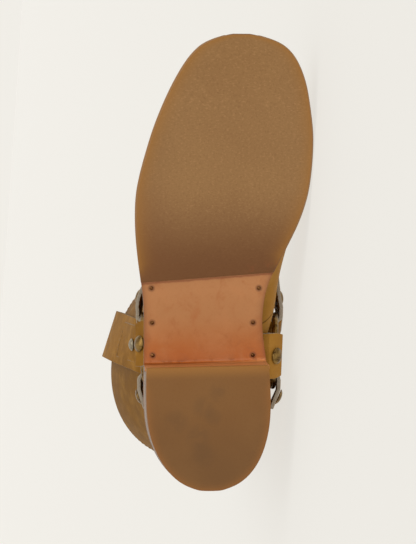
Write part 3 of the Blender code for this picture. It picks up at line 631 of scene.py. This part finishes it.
heel = solid_copy("heel_stack", "heel_layers")
round_outlines(heel)
rounded(heel, 0.3)
hand_over(heel, "heel_leather", "heel_stack", finishes=[stack_finish])

sole = solid_copy("leather_sole", "sole_leather")
mark_rim(sole, SOLE_RIM, is_sole)
round_outlines(sole)
rounded(sole, 0.5)
sole.data.materials.append(shank_finish)
sole.data.materials.append(sole_edge_finish)
for face in sole.data.polygons:
    bare = (TO_BOOT @ face.center).x / MM < RUBBER_REAR
    breast = face.normal.dot(TOE_WAY) > BREAST_FACING
    face.material_index = 0 if bare and (breast or is_sole(face)) else 1
hand_over(sole, "veg_leather", "leather_sole")

welt = solid_copy("welt", "welt_strip")
round_outlines(welt)
welt_tree = tree_of(welt)
rounded(welt, 0.4)
hand_over(welt, "veg_leather", "welt", finishes=[sole_edge_finish])

insole = solid_copy("insole", "insole_board")
rounded(insole, 0.5)
hand_over(insole, "lining_leather", "insole", finishes=[lining_finish])

# Upper: smoothed, then creased

upper = solid_copy("upper", "upper_shell")
wall_tree = tree_of(upper)
for finish in (upper_finish, lining_finish, edge_finish):
    upper.data.materials.append(finish)
CAVITY = 200.0
CLEAR = 0.4
COLLAR_HEIGHT = 225.0
COLLAR_FACING = 0.9
for face in upper.data.polygons:
    start = face.center + face.normal * (CLEAR * MM)
    seen = wall_tree.ray_cast(start, face.normal, CAVITY * MM)[0]
    face.material_index = 0 if seen is None else 1
    level = abs(face.normal.dot(SOLE_WAY)) > COLLAR_FACING
    if level and (TO_BOOT @ face.center).z / MM > COLLAR_HEIGHT:
        face.material_index = 2
smoothed(upper, 2)

CREASES = (
    # station, height, angle and reach of the crease in the side view, width, depth
    (214.0, 56.0, 112.0, 22.0, 5.0, 1.0),
    (201.0, 62.0, 106.0, 26.0, 5.0, 1.5),
    (188.0, 67.0, 100.0, 24.0, 4.5, 1.2),
    (150.0, 128.0, 162.0, 30.0, 6.0, 1.5),
    (142.0, 142.0, 168.0, 34.0, 6.5, 1.9),
    (134.0, 158.0, 174.0, 30.0, 6.0, 1.4),
    (14.0, 108.0, 14.0, 26.0, 6.0, 1.4),
    (12.0, 124.0, 8.0, 30.0, 6.5, 1.7),
    (12.0, 142.0, 2.0, 26.0, 6.0, 1.0),
)
# height of the ridges beside a crease, as a share of its depth, and their place, as a share of its width
RIDGE = 0.45
RIDGE_PLACE = 1.8


def crease(obj, table):
    """Soft troughs, each between two low ridges, fading out along their length."""
    points = in_boot(obj)
    count = len(points)
    normals = np.empty(count * 3, np.float32)
    obj.data.vertices.foreach_get("normal", normals)
    out = normals.reshape(-1, 3) @ np.array(TO_BOOT.to_3x3()).T
    inner = [v for face in obj.data.polygons if face.material_index == 1 for v in face.vertices]
    out[inner] *= -1.0
    push = np.zeros(count)
    for x, z, angle, reach, width, depth in table:
        turn = math.radians(angle)
        along = (points[:, 0] - x) * math.cos(turn) + (points[:, 2] - z) * math.sin(turn)
        off = ((points[:, 2] - z) * math.cos(turn) - (points[:, 0] - x) * math.sin(turn)) / width
        shape = RIDGE * np.exp(-(np.abs(off) - RIDGE_PLACE) ** 2) - np.exp(-off ** 2)
        push += depth * shape * np.exp(-(along / reach) ** 2)
    put_in_boot(obj, points + out * push[:, None])


WELT_TOP = 34.0
WELT_EASE = 6.0
# station, height, reach along and up, depth
INNER_WAIST = (116.0, 47.0, 20.0, 14.0, 4.4)


def swell(obj, station, height, reach, rise, depth):
    """Soft fullness of the upper's inner wall, round one place in the side view."""
    points = in_boot(obj)
    spread = ((points[:, 0] - station) / reach) ** 2 + ((points[:, 2] - height) / rise) ** 2
    free = np.clip((points[:, 2] - WELT_TOP) / WELT_EASE, 0.0, 1.0)
    points[:, 1] += np.where(points[:, 1] > 0.0, depth * np.exp(-spread) * free, 0.0)
    put_in_boot(obj, points)


crease(upper, CREASES)
swell(upper, *INNER_WAIST)
upper_tree = tree_of(upper)
hand_over(upper, "tan_leather", "upper")

# Straps, rings, rivets and nails

SOLE_END = 41.0
END_AREA = 40.0
TUCK = 4.5
CUT_MATCH = 0.04
CUT_BEVEL = 0.45
STRAP_SHARP = math.radians(60.0)
STRAPS = {
    # thickness of each strap
    "instep_strap": 2.6,
    "heel_strap": 2.6,
    "sole_strap_medial": 2.6,
    "sole_strap_lateral": 2.6,
    "pull_strap_medial": 2.4,
    "pull_strap_lateral": 2.4,
}


def add_strap(node, thickness):
    """Strap with rounded grey cut edges. Its end above the sole is drawn in to the upper and left brown."""
    obj = solid_copy(node, node + "_leather")

    def is_cut(face):
        points = [obj.data.vertices[v].co for v in face.vertices]
        lengths = [(p - q).length / MM for p, q in zip(points, points[1:] + points[:1])]
        return any(abs(length - thickness) < CUT_MATCH for length in lengths)

    def is_end(face):
        low = (TO_BOOT @ face.center).z / MM < SOLE_END
        return low and is_cut(face) and face.area > END_AREA * MM * MM

    pick_faces(obj, is_end)
    ends = [TO_BOOT @ face.center for face in obj.data.polygons if face.select]
    if ends:
        with editing(obj):
            bpy.ops.mesh.extrude_region()
            bpy.ops.transform.translate(value=boot_way(0.0, -ends[0].y, 0.0) * (TUCK * MM))
    obj.data.materials.append(strap_finish)
    obj.data.materials.append(edge_finish)
    for face in obj.data.polygons:
        face.material_index = int(is_cut(face) and not is_end(face))
    rounded(obj, CUT_BEVEL, sharp=STRAP_SHARP)
    return hand_over(obj, "tan_leather", node)


straps = {node: add_strap(node, thickness) for node, thickness in STRAPS.items()}
covers = [tree_of(strap) for strap in straps.values()]


def axis_of(node):
    """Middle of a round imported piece, its axis, and its largest radius."""
    points = np.array([v.co for v in nodes[node].data.vertices])
    middle = (points.min(axis=0) + points.max(axis=0)) / 2.0
    spread = points - points.mean(axis=0)
    axis = Vector(np.linalg.svd(spread, full_matrices=False)[2][2])
    return Vector(middle), axis, float(np.linalg.norm(spread, axis=1).max())


RING_WIRE = 2.2
RING_SIDES = 96
WIRE_SIDES = 20
RING_JOINT = 2.6
RING_WELD = 0.12
for side in SIDES:
    middle, axis, reach = axis_of("ring_" + side)
    turn = axis.to_track_quat("Z", "Y")
    bpy.ops.object.select_all(action="DESELECT")
    bpy.ops.mesh.primitive_torus_add(location=middle, rotation=turn.to_euler(),
                                     major_radius=reach - RING_WIRE * MM, minor_radius=RING_WIRE * MM,
                                     major_segments=RING_SIDES, minor_segments=WIRE_SIDES)
    ring = bpy.context.active_object
    ring.name = "harness_ring_" + side
    bpy.ops.object.transform_apply(location=True, rotation=True, scale=True)
    joint = middle + turn @ Vector((reach, 0.0, 0.0))
    pick_faces(ring, lambda face: (face.center - joint).length < RING_JOINT * MM)
    with editing(ring):
        bpy.ops.transform.shrink_fatten(value=RING_WELD * MM)
    hand_over(ring, "brass", "ring_" + side, finishes=[brass_finish])


SEAT_FACING = 0.999
DOME_FACING = 0.9
STUD_SIDES = 28
STUD_SHARP = math.radians(60.0)
STUD_RIM = 0.28
STUD_BEVEL = 0.06
STUD_STEPS = (
    # inset and rise, as shares of the radius and the height
    (0.12, 0.0),
    (0.1, 0.3),
    (0.24, 0.24),
    (0.28, 0.16),
)


def seat_of(node):
    """Middle of the flat base of a packed head, and the way that its dome looks."""
    faces = nodes[node].data.polygons

    def flat(way):
        return [face for face in faces if face.normal.dot(way) > SEAT_FACING]

    way = max((face.normal.copy() for face in faces), key=lambda n: sum(face.area for face in flat(n)))
    base = flat(way)
    middle = sum((face.center * face.area for face in base), Vector()) / sum(face.area for face in base)
    return middle, -way


def add_stud(node, name, radius, height, finish):
    """Domed head with a rolled rim, on the seat of a packed head."""
    base, axis = seat_of(node)
    rim = STUD_RIM * height * MM
    bpy.ops.object.select_all(action="DESELECT")
    bpy.ops.mesh.primitive_cylinder_add(vertices=STUD_SIDES, radius=radius * MM, depth=rim,
                                        location=base + axis * (rim / 2.0),
                                        rotation=axis.to_track_quat("Z", "Y").to_euler())
    stud = bpy.context.active_object
    stud.name = name
    bpy.ops.object.transform_apply(location=True, rotation=True, scale=True)
    pick_faces(stud, lambda face: face.normal.dot(axis) > DOME_FACING)
    with editing(stud):
        for inset, rise in STUD_STEPS:
            bpy.ops.mesh.inset(thickness=inset * radius * MM, depth=0.0)
            bpy.ops.transform.translate(value=axis * (rise * height * MM))
    rounded(stud, STUD_BEVEL * radius, sharp=STUD_SHARP)
    smoothed(stud, 1)
    hand_over(stud, "brass", node, finishes=[finish])


RIVET_RADIUS = 5.6
RIVET_HEIGHT = 2.4
PULL_RIVET_RADIUS = 4.5
NAIL_RADIUS = 1.35
NAIL_HEIGHT = 0.7
for side in SIDES:
    for strap in ("instep", "heel", "sole"):
        add_stud(f"rivet_{strap}_{side}", f"harness_rivet_{strap}_{side}", RIVET_RADIUS, RIVET_HEIGHT,
                 brass_finish)
    add_stud("rivet_pull_" + side, "pull_rivet_" + side, PULL_RIVET_RADIUS, RIVET_HEIGHT, dull_finish)
for nail in NAILS:
    add_stud(nail, nail + "_head", NAIL_RADIUS, NAIL_HEIGHT, nail_finish)

# Stitches: one is modelled, then laid along the seams

STITCH_END = 0.3
STITCH_DIP = 0.25


def stitch_shape():
    """One stitch of unit length, thickest in the middle, its ends dipping into the leather."""
    bpy.ops.object.select_all(action="DESELECT")
    bpy.ops.mesh.primitive_uv_sphere_add(segments=8, ring_count=5, radius=0.5,
                                         rotation=(0.0, math.pi / 2.0, 0.0))
    obj = bpy.context.active_object
    bpy.ops.object.transform_apply(location=True, rotation=True, scale=True)
    pick_faces(obj, lambda face: abs(face.center.x) > STITCH_END)
    with editing(obj):
        bpy.ops.transform.translate(value=(0.0, 0.0, -STITCH_DIP))
    points = np.array([v.co for v in obj.data.vertices])
    faces = [tuple(face.vertices) for face in obj.data.polygons]
    bpy.data.objects.remove(obj)
    return points, faces


STITCH = stitch_shape()
STITCH_SIZE = (2.7, 0.7, 0.45)
STITCH_LIFT = 0.1
PITCH = 3.4
HALF_STITCH = 0.4 * PITCH
COVER_START = 0.3
COVER_REACH = 9.0


def covered(point, normal):
    """Whether a strap lies over a place."""
    start = point + normal * (COVER_START * MM)
    return any(tree.ray_cast(start, normal, COVER_REACH * MM)[0] for tree in covers)


def sew(name, runs, finish, slot, hide=True):
    """Lay stitches along runs of points and normals, leaving out those under a strap."""
    shape, faces = STITCH
    points = []
    polygons = []
    for run in runs:
        track = np.array([point for point, _ in run])
        normals = np.array([normal for _, normal in run])
        way = np.concatenate(([0.0], np.cumsum(np.linalg.norm(np.diff(track, axis=0), axis=1))))
        for start in np.arange(0.5 * PITCH * MM, way[-1], PITCH * MM):
            spots = [Vector([np.interp(start + step, way, track[:, k]) for k in range(3)])
                     for step in (-HALF_STITCH * MM, 0.0, HALF_STITCH * MM)]
            up = Vector([np.interp(start, way, normals[:, k]) for k in range(3)]).normalized()
            if hide and covered(spots[1], up):
                continue
            along = (spots[2] - spots[0]).normalized()
            side = up.cross(along).normalized()
            turn = np.array((along * STITCH_SIZE[0], side * STITCH_SIZE[1], up * STITCH_SIZE[2])) * MM
            first = len(points)
            points += [tuple(p) for p in shape @ turn + np.array(spots[1] + up * (STITCH_LIFT * MM))]
            polygons += [tuple(first + v for v in face) for face in faces]
    mesh = bpy.data.meshes.new(name)
    mesh.from_pydata(points, [], polygons)
    obj = bpy.data.objects.new(name, mesh)
    bpy.context.scene.collection.objects.link(obj)
    hand_over(obj, slot, finishes=[finish])


RUN_MIDDLE = 5.0
RUN_SIGHT = 300.0


def round_run(tree, core, angle, offset, start, end, steps=90):
    """Run where a slanted plane cuts the boot's skin, seen from a core inside it."""
    tilt = math.radians(angle)
    run = []
    for turn in np.radians(np.linspace(start, end, steps)):
        x = core[0] - math.sin(tilt) * offset
        z = core[1] + math.cos(tilt) * offset
        ahead = math.cos(turn)
        way = boot_way(math.cos(tilt) * ahead, math.sin(turn), math.sin(tilt) * ahead)
        hit, normal = tree.ray_cast(boot_point(x, RUN_MIDDLE, z) + way * (RUN_SIGHT * MM), -way)[:2]
        if hit is not None:
            run.append((hit, normal))
    return run


def above(run, height):
    """The part of a run that is higher than a height."""
    return [(point, normal) for point, normal in run if (TO_BOOT @ point).z / MM > height]


ROWS = (1.6, 4.0)
WELT_LINE = 36.0
SIDE_FOOT = 104.0
# station and height of the core that each run is seen from
VAMP_CORE = (138.0, 80.5)
COUNTER_CORE = (34.0, 71.0)
SIDE_CORE = (95.0, 150.0)
COLLAR_CORE = (62.0, 234.5)
vamp_runs = [above(round_run(upper_tree, VAMP_CORE, VAMP_SEAM.angle, row, -125.0, 125.0), WELT_LINE)
             for row in ROWS]
counter_runs = [above(round_run(upper_tree, COUNTER_CORE, COUNTER_SEAM.angle, row, -125.0, 125.0), WELT_LINE)
                for row in ROWS]
side_runs = [above(round_run(upper_tree, SIDE_CORE, SIDE_SEAM.angle, row, start, start + 100.0), SIDE_FOOT)
             for row in ROWS for start in (40.0, -140.0)]
collar_runs = [round_run(upper_tree, COLLAR_CORE, 0.0, 0.0, -180.0, 180.0, 160)]
sew("vamp_stitches", vamp_runs, tan_thread, "tan_leather")
sew("counter_stitches", counter_runs, tan_thread, "tan_leather")
sew("side_stitches", side_runs, tan_thread, "tan_leather")
sew("collar_stitches", collar_runs, tan_thread, "tan_leather")

OUTER_FACING = 0.7


def outer_face(obj, side):
    """Middle of the outer face of a pull strap in the boot's frame, and the way that it looks."""
    out = boot_way(0.0, side, 0.0)
    total = Vector()
    middle = Vector()
    area = 0.0
    for face in obj.data.polygons:
        if face.material_index == 0 and face.normal.dot(out) > OUTER_FACING:
            total += face.normal * face.area
            middle += face.center * face.area
            area += face.area
    flat = TO_BOOT.to_3x3() @ total
    return TO_BOOT @ (middle / area) / MM, Vector((flat.x, flat.y, 0.0)).normalized()


PULL_EDGE = 13.0
PULL_HEIGHTS = (141.0, 190.0)
PULL_SIGHT = 60.0
for side_name, side in SIDES.items():
    strap = straps["pull_strap_" + side_name]
    strap_tree = tree_of(strap)
    middle, facing = outer_face(strap, side)
    wide = Vector((-facing.y, facing.x, 0.0))
    low, high = PULL_HEIGHTS
    rows = [[(-PULL_EDGE, z) for z in np.linspace(low, high, 40)],
            [(PULL_EDGE, z) for z in np.linspace(low, high, 40)],
            [(u, high) for u in np.linspace(-PULL_EDGE, PULL_EDGE, 20)]]
    runs = []
    for row in rows:
        run = []
        for u, z in row:
            start = Vector((middle.x, middle.y, z)) + wide * u + facing * PULL_SIGHT
            hit, normal = strap_tree.ray_cast(boot_point(*start), boot_way(*-facing))[:2]
            if hit is not None:
                run.append((hit, normal))
        if len(run) > 1:
            runs.append(run)
    sew("pull_stitches_" + side_name, runs, tan_thread, "tan_leather", hide=False)

WELT_CENTRE = (150.0, 8.0)
WELT_SIGHT = 70.0
WELT_SHARE = 0.42
WELT_TURNS = np.radians(np.arange(0.0, 361.0, 1.5))
WELT_REACHES = np.arange(175.0, 25.0, -0.5)
welt_run = []
for turn in WELT_TURNS:
    hits = []
    for reach in WELT_REACHES:
        x = WELT_CENTRE[0] + reach * math.cos(turn)
        y = WELT_CENTRE[1] + reach * math.sin(turn)
        hit, normal = welt_tree.ray_cast(boot_point(x, y, WELT_SIGHT), SOLE_WAY)[:2]
        if hit is not None:
            hits.append((hit, normal))
        elif hits:
            break
    welt_run.append(hits[int(WELT_SHARE * len(hits))])
sew("welt_stitches", [welt_run], welt_thread, "veg_leather", hide=False)

# Floor, light and camera

bpy.context.scene.view_settings.view_transform = "Standard"
PAPER = tint(241, 238, 231)
FLOOR_TONE = (0.1, 0.0995, 0.0985, 1.0)
FLOOR_HALF = 90.0
FLOOR_DROP = 0.2
FLOOR_GLOW = 0.8
bpy.ops.object.select_all(action="DESELECT")
bpy.ops.mesh.primitive_plane_add(size=2.0 * FLOOR_HALF, location=(0.0, 0.0, -FLOOR_DROP * MM))
floor = bpy.context.active_object
floor.name = "studio_floor"
paper = Finish("floor_paper", Emission_Color=PAPER, Emission_Strength=FLOOR_GLOW)
paper.surface(FLOOR_TONE, 0.95)
floor.data.materials.append(paper.material)
# The table light shines up through the paper
floor.visible_shadow = False

world = bpy.data.worlds.new("studio")
bpy.context.scene.world = world
world.use_nodes = True
world.node_tree.nodes["Background"].inputs["Color"].default_value = PAPER
world.node_tree.nodes["Background"].inputs["Strength"].default_value = 1.0

SUNS = (
    # name, direction it comes from, strength, angle
    ("key_light", (0.5, -0.7, 1.2), 0.8, 50.0),
    ("front_light", (0.05, -1.0, 0.08), 0.72, 25.0),
    ("table_light", (0.0, -0.35, -0.94), 0.75, 60.0),
)
for name, origin, strength, angle in SUNS:
    light = bpy.data.lights.new(name, "SUN")
    light.energy = strength
    light.angle = math.radians(angle)
    lamp = bpy.data.objects.new(name, light)
    lamp.rotation_euler = Vector(origin).to_track_quat("Z", "Y").to_euler()
    bpy.context.scene.collection.objects.link(lamp)

# The photo looks straight at the sole from a little to its outer side, with the toe up
AIM_STATION = 144.1
PHOTO_WIDTH = 416.0
MM_PER_PIXEL = 0.655
CAMERA_REACH = 1370.0
CAMERA_SWING = math.radians(3.8)
SENSOR = 36.0
CLIP_START = 0.05
CLIP_END = 200.0
aim = boot_point(AIM_STATION, 0.0, 0.0)
towards = boot_way(0.0, -math.sin(CAMERA_SWING), -math.cos(CAMERA_SWING))
toe = (TOE_WAY - towards * TOE_WAY.dot(towards)).normalized()
camera_data = bpy.data.cameras.new("photo_camera")
camera_data.sensor_fit = "HORIZONTAL"
camera_data.sensor_width = SENSOR
camera_data.lens = SENSOR * CAMERA_REACH / (PHOTO_WIDTH * MM_PER_PIXEL)
camera_data.clip_start = CLIP_START
camera_data.clip_end = CLIP_END
camera = bpy.data.objects.new("photo_camera", camera_data)
bpy.context.scene.collection.objects.link(camera)
view = Matrix((toe.cross(towards), toe, towards)).transposed().to_4x4()
camera.matrix_world = Matrix.Translation(aim + towards * (CAMERA_REACH * MM)) @ view
bpy.context.scene.camera = camera
